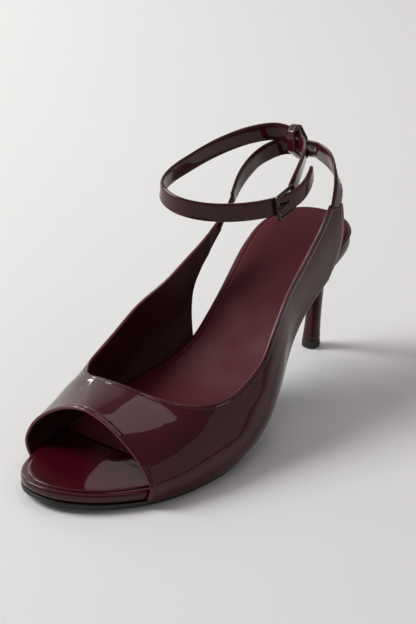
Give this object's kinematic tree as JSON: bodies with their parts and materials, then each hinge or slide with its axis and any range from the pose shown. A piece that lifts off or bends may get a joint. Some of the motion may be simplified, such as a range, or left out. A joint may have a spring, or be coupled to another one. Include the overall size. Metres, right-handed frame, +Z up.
{
  "type": "slingback shoe",
  "caption": "Left peep-toe slingback shoe in burgundy patent leather, slim mid heel, hollow upper with open throat, elastic slingback and buckled ankle strap",
  "frame": {"origin": "Centre of the heel tip's bottom face, on the floor", "axes": "+X heel to toe, +Y the wearer's left, which is the outer side of this left shoe, +Z up"},
  "size_m": [0.2232, 0.0922, 0.1223],
  "materials": {
    "outsole": "matte black thin sole",
    "board_wrap": "burgundy patent wrap",
    "band_wrap": "burgundy patent wrap",
    "sock": "matte burgundy",
    "upper_patent": "burgundy patent, dark lining",
    "heel_wrap": "burgundy patent wrap",
    "tip": "black",
    "sling_patent": "burgundy patent",
    "elastic": "woven, dark burgundy",
    "buckle": "dark gunmetal",
    "prong": "dark gunmetal",
    "ankle_patent": "burgundy patent",
    "keeper_patent": "burgundy patent"
  },
  "bodies": {
    "root": {"outsole": "outsole", "insole_board": "board_wrap", "edge_band": "band_wrap", "sock_lining": "sock", "upper": "upper_patent", "heel": "heel_wrap", "heel_tip": "tip", "sling_strap": "sling_patent", "elastic": "elastic", "buckle_frame": "buckle", "buckle_prong": "prong", "ankle_strap": "ankle_patent", "back_keeper": "keeper_patent"}
  },
  "joints": []
}
